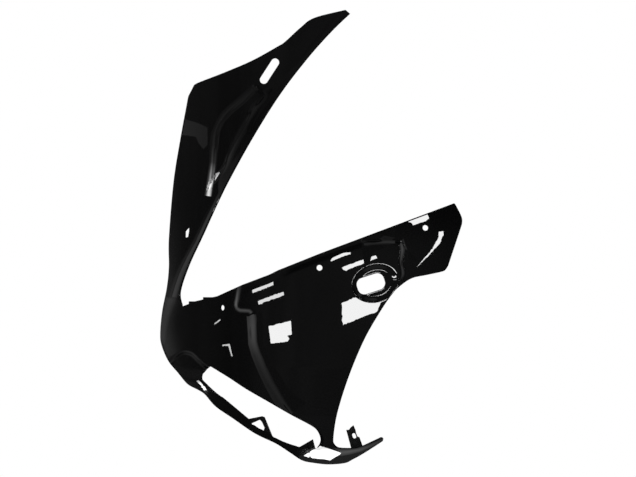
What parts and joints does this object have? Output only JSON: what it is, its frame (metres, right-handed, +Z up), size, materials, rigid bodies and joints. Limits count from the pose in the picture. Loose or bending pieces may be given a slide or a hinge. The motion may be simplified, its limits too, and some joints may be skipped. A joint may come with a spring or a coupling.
{
  "type": "motorcycle fairing",
  "caption": "One-piece moulded left side fairing for a sports motorcycle: tall horn beside the windscreen, side panel, duct lip, bolt holes and a turn signal slot",
  "frame": {"origin": "centre of the main bolt hole, halfway through its wall", "axes": "+X to the rear of the motorcycle, +Z up, -Y to its left, which is the side the outer face looks to"},
  "size_m": [0.4532, 0.225, 0.682],
  "materials": {
    "gloss_black": "high gloss black moulded plastic; matte on the duct lip, the tabs and the inner side"
  },
  "bodies": {
    "root": {"fairing_panel": "gloss_black"}
  },
  "joints": []
}
